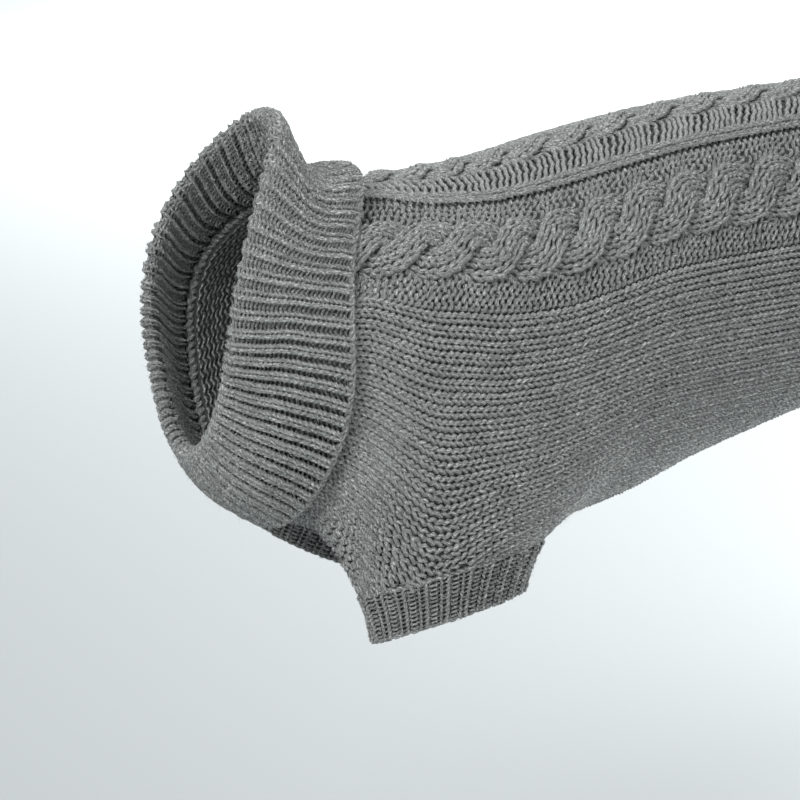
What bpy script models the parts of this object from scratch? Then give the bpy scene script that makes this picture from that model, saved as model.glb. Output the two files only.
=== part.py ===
"""Knitted dog pullover with a folded roll collar, standing open as if worn.

The wearer faces -X and its back is +Z. The origin is on the inside of the back at the withers.
Sizes are in millimetres in the tables below and in metres in the scene.
"""

import math

import bmesh
import bpy
import numpy as np
from mathutils import Vector

for old in list(bpy.data.objects):
    bpy.data.objects.remove(old, do_unlink=True)

MM = 0.001

# ---------------------------------------------------------------- driving sizes (mm)
WALL = 3.0  # thickness of the knitted fabric
ORIGIN_RISE = 4.56  # lifts the tables so that the inside of the back at the withers is z = 0
SEAM_GAP = 0.3  # space left between neighbouring pieces
COLLAR_GAP = 1.6  # space between the collar's two layers
CUFF_DROP = 1.0  # from the leg hole's edge to the top of the cuff
CABLE_RISE = 2.0  # how far a rope cable stands above the fabric
CABLE_HALF_WIDTH = 12.0  # half the width of one rope cable
SIDE_CABLE_AT = 59.0  # from the spine to the middle of a side cable, along the fabric
SIDE_CABLE_AT_NECK = 46.0  # the same at the collar's edge, where the fabric is gathered
CABLE_FROM = 0.9  # body ring row where the cables come out from under the collar
CABLE_SPREAD = 1.2  # body ring rows over which the side cables move out

# mesh divisions
COLLAR_COLUMNS = 44
COLLAR_ROWS = 4
FOLD_STEPS = 4
CUFF_COLUMNS = 28
CUFF_ROWS = 2
HEM_ROWS = 2

SEAM_ANGLE = 156.0  # ring angle, from the spine, of the seams beside the belly strip

# A ring is given on one side at five angles from the top: 0, 45, 90, 135 and 180 degrees.
# Each entry is (x, half width y, z) of the outer face. The other side mirrors it.
BODY_RINGS = (
    # top            shoulder         side             underside         keel
    ((-25, 0, 0), (-39, 34.5, -13.5), (-56, 53.5, -45), (-61, 42.5, -90.5), (-64, 0, -119.5)),
    ((-7, 0, -3), (-22, 38, -14.5), (-38, 60, -46), (-42, 48.5, -96), (-48, 0, -129)),
    ((20, 0, -4), (12, 48, -13), (0, 66, -58), (-4, 50, -116), (-10, 0, -142)),
    ((52, 0, -0.5), (50, 48, -11), (46, 66, -60), (44, 52, -119), (40, 0, -146)),
    ((90, 0, 7), (90, 47, -4.5), (90, 63, -57), (90, 47, -114), (90, 0, -141)),
    ((127, 0, 12.5), (128, 44, 1), (130, 58, -53), (132, 43, -104), (134, 0, -128)),
    ((190, 0, 17), (190, 41, 6), (190, 53, -45), (190, 40, -93), (190, 0, -114)),
    ((255, 0, 17), (252, 40, 5), (246, 52, -43), (238, 40, -86), (232, 0, -104)),
    ((318, 0, 10), (312, 39, -2), (298, 51, -45), (282, 40, -84), (268, 0, -102)),
)
HEM_RINGS = (
    ((318, 0, 10), (312, 39, -2), (298, 51, -45), (282, 40, -84), (268, 0, -102)),
    ((346, 0, 4), (339, 37, -7), (323, 48, -48), (305, 38, -85), (289, 0, -102)),
)
# free edge, middle and rim of the folded collar's outer layer
COLLAR_RINGS = (
    ((-14, 0, 6), (-31, 39, -9), (-45, 63, -45), (-49, 51, -97), (-55, 0, -131)),
    ((-33, 0, 6.5), (-47, 36, -8), (-66, 54, -42), (-71, 43, -89), (-74, 0, -117.5)),
    ((-44, 0, 28), (-61, 30, 9), (-81, 42, -32), (-85, 33, -74), (-86, 0, -101)),
)
# Each leg hole: centre, half lengths fore-aft and outward, and how far each of these rises.
LEG_HOLES = {
    "left": dict(centre=(4.3, -47, -143), long=39.3, rise=8.6, wide=24, lift=17),
    "right": dict(centre=(-4, 47, -140), long=37, rise=-15, wide=24, lift=12),
}
CUFF_ENDS = {
    "left": dict(centre=(2.2, -48, -163.3), long=32.2, rise=9.2, wide=21, lift=20),
    "right": dict(centre=(-13, 47, -155.5), long=31, rise=-27, wide=21, lift=12),
}
HOLE_ROW = 2.2  # where along the body rings the leg holes lie
HOLE_ROW_REACH = 0.85
HOLE_ANGLE = 148.0
HOLE_ANGLE_REACH = 16.0
PULL_FROM = 0.7  # the collar holds the fabric up to this row, and the legs draw it down from there
PULL_FULL = 1.35
HOLE_DEPTH = 60.0  # how steeply the fabric turns down inside the hole before it is opened
SEAM_HALF_GAP = 0.38  # degrees
SELVEDGE = 1.2  # degrees, width of the narrow strip that squares up a panel's edge
HOLE_EDGE = 0.08  # in hole radii, the same strip round a leg hole
COLLAR_SEAM_ROW = 0.6  # collar ring row above which the inner layer is sewn to the neck edge
CUFF_WAIST = 0.02  # how much the ribbing draws in between its ends
HEM_START = 0.024


# ---------------------------------------------------------------- form
def ring_weights(angles):
    """Weights that carry the five table angles to any angles, for x and z, and for y."""
    nodes = np.radians([0.0, 45.0, 90.0, 135.0, 180.0])
    even = np.cos(np.multiply.outer(angles, np.arange(5)))
    even = even @ np.linalg.inv(np.cos(np.outer(nodes, np.arange(5))))
    odd = np.sin(np.multiply.outer(angles, np.arange(1, 4)))
    odd = odd @ np.linalg.inv(np.sin(np.outer(nodes[1:4], np.arange(1, 4))))
    return even, odd


def ring_surface(rings, rows, angles):
    """Points of the tube through the rings. A positive angle is on the wearer's left, -Y."""
    table = np.asarray(rings, float)
    last = len(table) - 1
    ends = (2 * table[0] - table[1], 2 * table[-1] - table[-2])
    table = np.concatenate([ends[0][None], table, ends[1][None]])
    first = np.clip(np.floor(rows).astype(int), 0, last - 1)
    f = (rows - first)[..., None, None]
    a, b, c, d = table[first], table[first + 1], table[first + 2], table[first + 3]
    nodes = 0.5 * (
        2 * b + (c - a) * f + (2 * a - 5 * b + 4 * c - d) * f**2 + (3 * b - a - 3 * c + d) * f**3
    )
    even, odd = ring_weights(angles)
    x = (even * nodes[..., 0]).sum(-1)
    z = (even * nodes[..., 2]).sum(-1)
    y = -(odd * nodes[..., 1:4, 1]).sum(-1)
    return np.stack([x, y, z], -1)


def loop_axes(loop, side):
    """The fore-aft and outward half axes of a leg opening."""
    rise = math.radians(loop["rise"])
    lift = math.radians(loop["lift"])
    out = -1.0 if side == "left" else 1.0
    along = np.array([math.cos(rise), 0.0, math.sin(rise)]) * loop["long"]
    across = np.array([0.0, out * math.cos(lift), math.sin(lift)]) * loop["wide"]
    return np.array(loop["centre"], float), along, across


def hole_offsets(rows, angles):
    """Where a place on the body lies from its leg hole's middle, in hole radii."""
    folded = np.abs((np.degrees(angles) + 180.0) % 360.0 - 180.0)
    return (rows - HOLE_ROW) / HOLE_ROW_REACH, (HOLE_ANGLE - folded) / HOLE_ANGLE_REACH


def rounded_grid(rows, angles):
    """Bends the grid lines round the leg holes, so that a block of cells becomes the hole.

    Also gives each point's place in the block: under 1 is inside the hole.
    """
    u, v = hole_offsets(rows, angles)
    block = np.maximum(np.abs(u), np.abs(v))
    shrink = block / np.maximum(np.hypot(u, v), 1e-9)
    part = np.clip(2.0 - block, 0.0, 1.0)
    shrink = 1.0 + (shrink - 1.0) * part
    rows = HOLE_ROW + HOLE_ROW_REACH * u * shrink
    folded = HOLE_ANGLE - HOLE_ANGLE_REACH * v * shrink
    turned = (angles + math.pi) % (2 * math.pi) - math.pi
    signed = np.radians(folded) * np.where(turned < 0, -1.0, 1.0)
    return rows, signed, block


def body_surface(rows, angles):
    """Outer face of the body, drawn down to the two leg holes."""
    rows, angles = np.broadcast_arrays(np.asarray(rows, float), np.asarray(angles, float))
    points = ring_surface(BODY_RINGS, rows, angles)
    angles = (angles + math.pi) % (2 * math.pi) - math.pi
    u, v = hole_offsets(rows, angles)
    radius, turn = np.hypot(u, v), np.arctan2(v, u)
    for side, sign in (("left", 1.0), ("right", -1.0)):
        centre, along, across = loop_axes(LEG_HOLES[side], side)
        edge_rows = HOLE_ROW + HOLE_ROW_REACH * np.cos(turn)
        edge_angles = np.radians(HOLE_ANGLE - HOLE_ANGLE_REACH * np.sin(turn)) * sign
        edge = ring_surface(BODY_RINGS, edge_rows, edge_angles)
        spokes = np.cos(turn)[..., None] * along + np.sin(turn)[..., None] * across
        pull = centre + spokes - edge
        up = np.clip(np.sin(turn), 0.0, 1.0) ** 2
        reach = 1.9 + 1.7 * up
        fade = np.clip(1.0 - (radius - 1.0) / (reach - 1.0), 0.0, 1.0) ** (2.0 - 0.6 * up)
        free = np.clip((rows - PULL_FROM) / (PULL_FULL - PULL_FROM), 0.0, 1.0)
        fade = fade * free * free * (3.0 - 2.0 * free)
        outside = points + fade[..., None] * pull
        down = np.cross(along, across)
        down = -down / np.linalg.norm(down) * np.sign(down[2])
        inner = np.clip(radius, 0.0, 1.0)[..., None]
        inside = centre + spokes * inner + down * HOLE_DEPTH * (1.0 - inner)
        moved = np.where(radius[..., None] < 1.0, inside, outside)
        points = np.where((angles * sign > 0)[..., None], moved, points)
    return points


def surface_normals(surface, rows, angles, row_step=0.02, angle_step=0.01):
    """Outward unit normals of a tube given as a function of row and angle."""
    along = surface(rows + row_step, angles) - surface(rows - row_step, angles)
    round_it = surface(rows, angles + angle_step) - surface(rows, angles - angle_step)
    normal = np.cross(round_it, along)
    return normal / np.maximum(np.linalg.norm(normal, axis=-1, keepdims=True), 1e-9)


def collar_surface(rows, angles):
    return ring_surface(COLLAR_RINGS, np.asarray(rows, float), np.asarray(angles, float))


def collar_normals(rows, angles):
    return -surface_normals(collar_surface, rows, angles)


def cable_rise(points, rows):
    """Extra height over the three rope cables, from the distance along the fabric."""
    steps = np.linalg.norm(np.diff(points, axis=1), axis=2)
    run = np.concatenate([np.zeros((len(points), 1)), np.cumsum(steps, axis=1)], axis=1)
    middle = points.shape[1] // 2
    from_spine = np.abs(run - run[:, middle : middle + 1])
    rise = np.zeros_like(from_spine)
    spread = np.clip((rows - CABLE_FROM) / CABLE_SPREAD, 0.0, 1.0)
    side = SIDE_CABLE_AT_NECK + (SIDE_CABLE_AT - SIDE_CABLE_AT_NECK) * spread
    for at in (0.0, side):
        off = np.clip(np.abs(from_spine - at) / CABLE_HALF_WIDTH, 0.0, 1.0)
        rise = np.maximum(rise, CABLE_RISE * (1.0 - off**4))
    return rise * np.clip((rows - CABLE_FROM) * 4.0, 0.0, 1.0)


# ---------------------------------------------------------------- scene helpers
def collection(name):
    made = bpy.data.collections.new(name)
    bpy.context.scene.collection.children.link(made)
    return made


def wool(name, shade):
    material = bpy.data.materials.new(name)
    material.use_nodes = True
    shader = material.node_tree.nodes["Principled BSDF"]
    colour = (shade, shade * 1.01, shade * 1.02, 1.0)
    shader.inputs["Base Color"].default_value = colour
    shader.inputs["Roughness"].default_value = 0.95
    shader.inputs["Metallic"].default_value = 0.0
    material.diffuse_color = colour
    return material


def grid_object(name, points, shade, offset, outward, block=None):
    """A grid laid on the points, rows by columns, with a wall.

    offset -1 keeps the surface as the outer face of the wall and 0 as its middle.
    outward(point) is a direction that the faces look along.
    block, if given, is each point's place by the leg holes, whose cells are left out.
    """
    rows, columns = points.shape[:2]
    sheet = bmesh.new()
    place = sheet.verts.layers.float.new("place")
    bmesh.ops.create_grid(sheet, x_segments=columns - 1, y_segments=rows - 1, size=0.5)
    for vertex in sheet.verts:
        column = round((vertex.co.x + 0.5) * (columns - 1))
        row = round((vertex.co.y + 0.5) * (rows - 1))
        vertex.co = Vector((points[row, column] + (0.0, 0.0, ORIGIN_RISE)) * MM)
        if block is not None:
            vertex[place] = block[row, column]
    if block is not None:
        inside = [f for f in sheet.faces if max(v[place] for v in f.verts) < 1.001]
        bmesh.ops.delete(sheet, geom=inside, context="FACES")
    bmesh.ops.remove_doubles(sheet, verts=sheet.verts[:], dist=1e-6)
    sheet.normal_update()
    score = 0.0
    for face in sheet.faces:
        score += face.normal.dot(outward(face.calc_center_median())) * face.calc_area()
    if score < 0:
        bmesh.ops.reverse_faces(sheet, faces=sheet.faces[:])
    mesh = bpy.data.meshes.new(name)
    sheet.to_mesh(mesh)
    sheet.free()
    made = bpy.data.objects.new(name, mesh)
    garment.objects.link(made)
    mesh.materials.append(wool(name + "_knit", shade))
    mesh.shade_smooth()
    wall = made.modifiers.new("Wall", "SOLIDIFY")
    wall.thickness = WALL * MM
    wall.offset = offset
    wall.use_rim = True
    return made


def from_body_axis(point):
    return Vector((0.0, point.y, point.z + 0.05))


garment = collection("dog_pullover")

# ---------------------------------------------------------------- body panels
def divided(*stops):
    """Values from (value, steps to the next value), ending with the last value."""
    spans = [np.linspace(a[0], b[0], a[1] + 1)[:-1] for a, b in zip(stops, stops[1:])]
    return np.concatenate(spans + [[stops[-1][0]]])


edge = HOLE_EDGE * HOLE_ROW_REACH
front, rear = HOLE_ROW - HOLE_ROW_REACH, HOLE_ROW + HOLE_ROW_REACH
body_rows = divided(
    (0.0, 5), (front - edge, 1), (front, 8), (rear, 1), (rear + edge, 4), (4.0, 7), (8.0, 0)
)
edge = HOLE_EDGE * HOLE_ANGLE_REACH
top, low = HOLE_ANGLE - HOLE_ANGLE_REACH, HOLE_ANGLE + HOLE_ANGLE_REACH
seam = SEAM_ANGLE - SEAM_HALF_GAP
half = divided((0.0, 16), (96.0, 7), (top - edge, 1), (top, 6), (seam - SELVEDGE, 1), (seam, 0))
back_angles = np.radians(np.concatenate([-half[:0:-1], half]))
seam = SEAM_ANGLE + SEAM_HALF_GAP
half = divided((seam, 1), (seam + SELVEDGE, 1), (low, 1), (low + edge, 2), (180.0, 0))
belly_angles = np.radians(np.concatenate([half, 360.0 - half[-2::-1]]))

row_grid, angle_grid = np.meshgrid(body_rows, back_angles, indexing="ij")
row_grid, angle_grid, block = rounded_grid(row_grid, angle_grid)
back = body_surface(row_grid, angle_grid)
rise = cable_rise(back, row_grid)[..., None]
back = back + rise * surface_normals(body_surface, row_grid, angle_grid)
grid_object("back_panel", back, 0.2, -1, from_body_axis, block)

row_grid, angle_grid = np.meshgrid(body_rows, belly_angles, indexing="ij")
row_grid, angle_grid, block = rounded_grid(row_grid, angle_grid)
belly = body_surface(row_grid, angle_grid)
grid_object("belly_panel", belly, 0.2, -1, from_body_axis, block)

# ---------------------------------------------------------------- collar
angles = np.radians(np.linspace(-180.0, 180.0, COLLAR_COLUMNS + 1))
outer_rows = np.linspace(0.0, 2.0, COLLAR_ROWS + 1)
inner_rows = np.linspace(2.0, COLLAR_SEAM_ROW, COLLAR_ROWS + 1)
layers = WALL + COLLAR_GAP  # between the middles of the two layers
path = []
for row in outer_rows:
    face = collar_surface(row, angles)
    path.append(face - collar_normals(row, angles) * WALL / 2)
rim = collar_surface(2.0, angles)
rim_normal = collar_normals(2.0, angles)
forward = rim - collar_surface(1.98, angles)
forward /= np.linalg.norm(forward, axis=1)[:, None]
for step in range(1, FOLD_STEPS):
    turn = math.pi * step / FOLD_STEPS
    out = -WALL / 2 - layers / 2 + math.cos(turn) * layers / 2
    path.append(rim + rim_normal * out + forward * math.sin(turn) * layers / 2)
# the inner layer runs down to the neck edge of the body and meets it end to end
neck = body_surface(0.0, angles)
neck_normal = surface_normals(body_surface, 0.0, angles)
neck_forward = neck - body_surface(0.05, angles)
neck_forward /= np.linalg.norm(neck_forward, axis=1)[:, None]
target = neck - neck_normal * WALL / 2 + neck_forward * SEAM_GAP * 1.3
for row in inner_rows:
    face = collar_surface(row, angles)
    inner = face - collar_normals(row, angles) * (WALL / 2 + layers)
    if row == inner_rows[0]:
        first_inner = inner
    share = (2.0 - row) / (2.0 - COLLAR_SEAM_ROW)
    end_face = collar_surface(COLLAR_SEAM_ROW, angles)
    end_normal = collar_normals(COLLAR_SEAM_ROW, angles)
    miss = target - (end_face - end_normal * (WALL / 2 + layers))
    path.append(inner + miss * share**2)
grid_object("collar", np.array(path), 0.19, 0, from_body_axis)

# ---------------------------------------------------------------- leg cuffs
turns = np.linspace(0.0, 2 * math.pi, CUFF_COLUMNS + 1)
for side in ("left", "right"):
    top, top_along, top_across = loop_axes(LEG_HOLES[side], side)
    end, end_along, end_across = loop_axes(CUFF_ENDS[side], side)
    drop = (end - top) / np.linalg.norm(end - top) * CUFF_DROP
    rings = []
    for share in np.linspace(0.0, 1.0, CUFF_ROWS + 1):
        waist = 1.0 - CUFF_WAIST * math.sin(math.pi * share)
        middle = top + drop + (end - top - drop) * share
        along = (top_along + (end_along - top_along) * share) * waist
        across = (top_across + (end_across - top_across) * share) * waist
        rings.append(middle + np.outer(np.cos(turns), along) + np.outer(np.sin(turns), across))
    hub = Vector((top + end) / 2 * MM)

    def from_leg(point, hub=hub):
        return Vector((point.x - hub.x, point.y - hub.y, 0.0))

    grid_object(side + "_cuff", np.array(rings), 0.17, -1, from_leg)

# ---------------------------------------------------------------- hem band
hem_rows = np.linspace(HEM_START, 1.0, HEM_ROWS + 1)
row_grid, angle_grid = np.meshgrid(hem_rows, angles, indexing="ij")
grid_object("hem_band", ring_surface(HEM_RINGS, row_grid, angle_grid), 0.19, -1, from_body_axis)
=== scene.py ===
"""Looks of the knitted dog pullover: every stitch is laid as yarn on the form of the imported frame.

The form's tables and functions are those of the CAD, in millimetres. The wearer faces -X, its back
is +Z, and a positive ring angle or a positive distance from the spine is on its left, -Y.
"""

import math

import bpy
import numpy as np
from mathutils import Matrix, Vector


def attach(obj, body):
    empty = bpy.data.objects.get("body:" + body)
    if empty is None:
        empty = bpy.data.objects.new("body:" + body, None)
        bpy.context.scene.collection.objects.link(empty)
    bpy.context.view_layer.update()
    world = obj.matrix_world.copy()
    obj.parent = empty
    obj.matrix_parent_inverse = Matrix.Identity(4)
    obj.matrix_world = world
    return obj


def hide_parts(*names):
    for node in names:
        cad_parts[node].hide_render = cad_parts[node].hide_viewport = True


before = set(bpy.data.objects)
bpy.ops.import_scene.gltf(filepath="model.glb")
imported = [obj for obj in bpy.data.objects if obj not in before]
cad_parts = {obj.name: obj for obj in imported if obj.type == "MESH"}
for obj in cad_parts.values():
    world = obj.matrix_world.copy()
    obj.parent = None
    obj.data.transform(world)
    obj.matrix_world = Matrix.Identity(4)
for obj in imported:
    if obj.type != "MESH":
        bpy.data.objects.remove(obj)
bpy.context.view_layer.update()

noise = np.random.default_rng(7)

MM = 0.001
ORIGIN_RISE = 4.56  # lifts the tables so that the inside of the back at the withers is z = 0
WALL = 3
COLLAR_GAP = 1.6
CUFF_DROP = 1
SEAM_GAP = 0.3
SEAM_ANGLE = 156
SEAM_HALF_GAP = 0.38

# ---------- form, as in the CAD
# A ring is given on one side at five angles from the top: 0, 45, 90, 135 and 180 degrees.
# Each entry is (x, half width y, z) of the outer face. The other side mirrors it.
BODY_RINGS = (
    # top            shoulder         side             underside         keel
    ((-25, 0, 0), (-39, 34.5, -13.5), (-56, 53.5, -45), (-61, 42.5, -90.5), (-64, 0, -119.5)),
    ((-7, 0, -3), (-22, 38, -14.5), (-38, 60, -46), (-42, 48.5, -96), (-48, 0, -129)),
    ((20, 0, -4), (12, 48, -13), (0, 66, -58), (-4, 50, -116), (-10, 0, -142)),
    ((52, 0, -0.5), (50, 48, -11), (46, 66, -60), (44, 52, -119), (40, 0, -146)),
    ((90, 0, 7), (90, 47, -4.5), (90, 63, -57), (90, 47, -114), (90, 0, -141)),
    ((127, 0, 12.5), (128, 44, 1), (130, 58, -53), (132, 43, -104), (134, 0, -128)),
    ((190, 0, 17), (190, 41, 6), (190, 53, -45), (190, 40, -93), (190, 0, -114)),
    ((255, 0, 17), (252, 40, 5), (246, 52, -43), (238, 40, -86), (232, 0, -104)),
    ((318, 0, 10), (312, 39, -2), (298, 51, -45), (282, 40, -84), (268, 0, -102)),
)
HEM_RINGS = (
    BODY_RINGS[-1],
    ((346, 0, 4), (339, 37, -7), (323, 48, -48), (305, 38, -85), (289, 0, -102)),
)
# free edge, middle and rim of the folded collar's outer layer
COLLAR_RINGS = (
    ((-14, 0, 6), (-31, 39, -9), (-45, 63, -45), (-49, 51, -97), (-55, 0, -131)),
    ((-33, 0, 6.5), (-47, 36, -8), (-66, 54, -42), (-71, 43, -89), (-74, 0, -117.5)),
    ((-44, 0, 28), (-61, 30, 9), (-81, 42, -32), (-85, 33, -74), (-86, 0, -101)),
)
COLLAR_SEAM_ROW = 0.6
# centre, fore-aft half length and its rise in degrees, half width and its lift in degrees
LEG_HOLES = {
    "left": ((4.3, -47, -143), 39.3, 8.6, 24, 17),
    "right": ((-4, 47, -140), 37, -15, 24, 12),
}
CUFF_ENDS = {
    "left": ((2.2, -48, -163.3), 32.2, 9.2, 21, 20),
    "right": ((-13, 47, -155.5), 31, -27, 21, 12),
}
CUFF_WAIST = 0.02
HOLE_ROW = 2.2
HOLE_ROW_REACH = 0.85
HOLE_ANGLE = 148
HOLE_ANGLE_REACH = 16
PULL_FROM = 0.7  # ring row at which the body begins to be drawn to the holes
PULL_FULL = 1.35
PULL_REACH = 1.9  # hole radii over which the pull fades out, and more of them above the hole
PULL_REACH_UP = 1.7
PULL_FADE = 2  # how steeply it fades, and less of that above the hole
PULL_FADE_UP = 0.6
HOLE_DEPTH = 60


def ring_weights(angles):
    """Weights that carry the five table angles to any angles, for x and z, and for y."""
    nodes = np.radians([0, 45, 90, 135, 180])
    even = np.cos(np.multiply.outer(angles, np.arange(5)))
    even = even @ np.linalg.inv(np.cos(np.outer(nodes, np.arange(5))))
    odd = np.sin(np.multiply.outer(angles, np.arange(1, 4)))
    odd = odd @ np.linalg.inv(np.sin(np.outer(nodes[1:4], np.arange(1, 4))))
    return even, odd


def ring_surface(rings, rows, angles):
    """Points of the tube through the rings."""
    table = np.asarray(rings, float)
    last = len(table) - 1
    table = np.concatenate([2 * table[:1] - table[1:2], table, 2 * table[-1:] - table[-2:-1]])
    first = np.clip(np.floor(rows).astype(int), 0, last - 1)
    f = (rows - first)[..., None, None]
    a, b, c, d = table[first], table[first + 1], table[first + 2], table[first + 3]
    nodes = 0.5 * (
        2 * b + (c - a) * f + (2 * a - 5 * b + 4 * c - d) * f**2 + (3 * b - a - 3 * c + d) * f**3
    )
    even, odd = ring_weights(angles)
    x = (even * nodes[..., 0]).sum(-1)
    z = (even * nodes[..., 2]).sum(-1)
    y = -(odd * nodes[..., 1:4, 1]).sum(-1)
    return np.stack([x, y, z], -1)


def loop_axes(loops, side):
    """The middle and the fore-aft and outward half axes of a leg opening."""
    centre, long, rise, wide, lift = loops[side]
    rise, lift = math.radians(rise), math.radians(lift)
    out = -1 if side == "left" else 1
    along = np.array([math.cos(rise), 0, math.sin(rise)]) * long
    across = np.array([0, out * math.cos(lift), math.sin(lift)]) * wide
    return np.array(centre, float), along, across


def folded(angles):
    """Degrees from the spine, on either side."""
    return np.abs((np.degrees(angles) + 180) % 360 - 180)


def hole_offsets(rows, angles):
    """Where a place on the body lies from its leg hole's middle, in hole radii."""
    return (rows - HOLE_ROW) / HOLE_ROW_REACH, (HOLE_ANGLE - folded(angles)) / HOLE_ANGLE_REACH


def body_surface(rows, angles, depth=HOLE_DEPTH):
    """Outer face of the body, drawn down to the two leg holes."""
    rows, angles = np.broadcast_arrays(np.asarray(rows, float), np.asarray(angles, float))
    points = ring_surface(BODY_RINGS, rows, angles)
    angles = (angles + math.pi) % math.tau - math.pi
    u, v = hole_offsets(rows, angles)
    radius, turn = np.hypot(u, v), np.arctan2(v, u)
    for side, sign in (("left", 1), ("right", -1)):
        centre, along, across = loop_axes(LEG_HOLES, side)
        edge_rows = HOLE_ROW + HOLE_ROW_REACH * np.cos(turn)
        edge_angles = np.radians(HOLE_ANGLE - HOLE_ANGLE_REACH * np.sin(turn)) * sign
        edge = ring_surface(BODY_RINGS, edge_rows, edge_angles)
        spokes = np.cos(turn)[..., None] * along + np.sin(turn)[..., None] * across
        pull = centre + spokes - edge
        up = np.clip(np.sin(turn), 0, 1) ** 2
        reach = PULL_REACH + PULL_REACH_UP * up
        fade = np.clip(1 - (radius - 1) / (reach - 1), 0, 1) ** (PULL_FADE - PULL_FADE_UP * up)
        free = np.clip((rows - PULL_FROM) / (PULL_FULL - PULL_FROM), 0, 1)
        fade = fade * free * free * (3 - 2 * free)
        outside = points + fade[..., None] * pull
        down = np.cross(along, across)
        down = -down / np.linalg.norm(down) * np.sign(down[2])
        inner = np.clip(radius, 0, 1)[..., None]
        inside = centre + spokes * inner + down * depth * (1 - inner)
        moved = np.where(radius[..., None] < 1, inside, outside)
        points = np.where((angles * sign > 0)[..., None], moved, points)
    return points


# ---------- fabrics as fine grids
BODY_STEPS = 50  # grid rows for each ring row of the body
BODY_TURN = 720  # grid columns round the body
RIB_STEPS = 24  # the same for the collar, and for the whole of a cuff or the hem
FOLD_STEPS = 13  # grid rows over the collar's fold
ROUND = np.radians(np.linspace(-180, 180, BODY_TURN + 1))
LAST_RING = len(BODY_RINGS) - 1
DOWN_ANGLE = 75  # degrees from the spine, where a place down the body is told
BEYOND = 999  # mm, stands for a place past the hem


def unit(vectors):
    return vectors / np.maximum(np.linalg.norm(vectors, axis=-1, keepdims=True), 1e-9)


def run_lengths(points, axis):
    """Distance run along one axis of a grid of points."""
    steps = np.linalg.norm(np.diff(points, axis=axis), axis=-1)
    return np.insert(np.cumsum(steps, axis=axis), 0, 0, axis=axis)


def bilinear(table, row, column):
    """A table read between its entries."""
    row = np.clip(row, 0, table.shape[0] - 1 - 1e-6)
    column = np.clip(column, 0, table.shape[1] - 1 - 1e-6)
    i, j = row.astype(int), column.astype(int)
    f, g = row - i, column - j
    if table.ndim == 3:
        f, g = f[..., None], g[..., None]
    near = table[i, j] * (1 - g) + table[i, j + 1] * g
    far = table[i + 1, j] * (1 - g) + table[i + 1, j + 1] * g
    return near * (1 - f) + far * f


class Fabric:
    """A tube of fabric as a fine grid: rows along the wales, columns round the tube."""

    def __init__(self, points):
        self.points = points
        self.last = np.array(points.shape[:2]) - 1
        around = np.concatenate([points[:, -2:-1], points, points[:, 1:2]], axis=1)
        around = around[:, 2:] - around[:, :-2]
        self.normals = unit(np.cross(around, np.gradient(points, axis=0)))
        if (self.normals * (points - points.mean(axis=(0, 1)))).sum() < 0:
            self.normals = -self.normals
        middle = points.shape[1] // 2
        lengths = run_lengths(points, 1)
        self.across = lengths - lengths[:, middle : middle + 1]
        self.along = run_lengths(points, 0)
        self.run = self.along.mean(axis=1)

    def place(self, row, column, out):
        """Points at a height above the surface, and the surface's normals there."""
        normal = unit(bilinear(self.normals, row, column))
        return bilinear(self.points, row, column) + normal * out[..., None], normal

    def hole_radius(self, row, column):
        """A place's distance from a leg hole, in its radii: past 1 where there is none."""
        return 2 + 0 * row


class BodyFabric(Fabric):
    """The body, with distances round it counted from the spine or the keel."""

    REACH = 330  # mm, how far round the tables go
    LONG = 440  # mm, how far down a wale they go

    def __init__(self, middle_angle):
        rows = np.linspace(0, LAST_RING, LAST_RING * BODY_STEPS + 1)[:, None]
        angles = np.radians(np.linspace(middle_angle - 180, middle_angle + 180, BODY_TURN + 1))
        self.angles = angles
        super().__init__(body_surface(rows, angles))
        distances = np.arange(-self.REACH, self.REACH + 1)
        columns = np.arange(BODY_TURN + 1)
        self.columns = np.array([np.interp(distances, run, columns) for run in self.across])
        line = body_surface(rows, np.radians([DOWN_ANGLE, DOWN_ANGLE + 1]))
        self.run = run_lengths(line, 0)[:, 0]
        # where a length along any wale's own path lies down the body
        flat = body_surface(rows, angles, depth=0)
        own = run_lengths(bilinear(flat, np.arange(len(rows))[:, None], self.columns), 0)
        lengths = np.arange(self.LONG + 1)
        self.wales = np.array([np.interp(lengths, run, self.run, right=BEYOND) for run in own.T])

    def down_at(self, length, across):
        """How far down the body a length along a wale is."""
        down = bilinear(self.wales, across + self.REACH, length)
        return np.where(down > self.run[-1], BEYOND, down)

    def hole_radius(self, row, column):
        u, v = hole_offsets(row / BODY_STEPS, np.interp(column, np.arange(BODY_TURN + 1), self.angles))
        return np.hypot(u, v)

    def lay(self, along, across, out):
        """Stitches on the body: path, up, which have a place, and degrees from the spine."""
        row = np.interp(along, self.run, np.arange(len(self.run)))
        column = bilinear(self.columns, row, across + self.REACH)
        path, up = self.place(row, column, out)
        row, column = row.mean(axis=2), column.mean(axis=2)
        present = (self.hole_radius(row, column) > 1) & (along.max(axis=2) < self.run[-1])
        return path, up, present, folded(np.interp(column, np.arange(BODY_TURN + 1), self.angles))


def ring_fabric(rings, steps):
    """The tube through rings of the form, as points."""
    rows = np.linspace(0, len(rings) - 1, (len(rings) - 1) * steps + 1)
    return Fabric(ring_surface(rings, *np.meshgrid(rows, ROUND, indexing="ij")))


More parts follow.
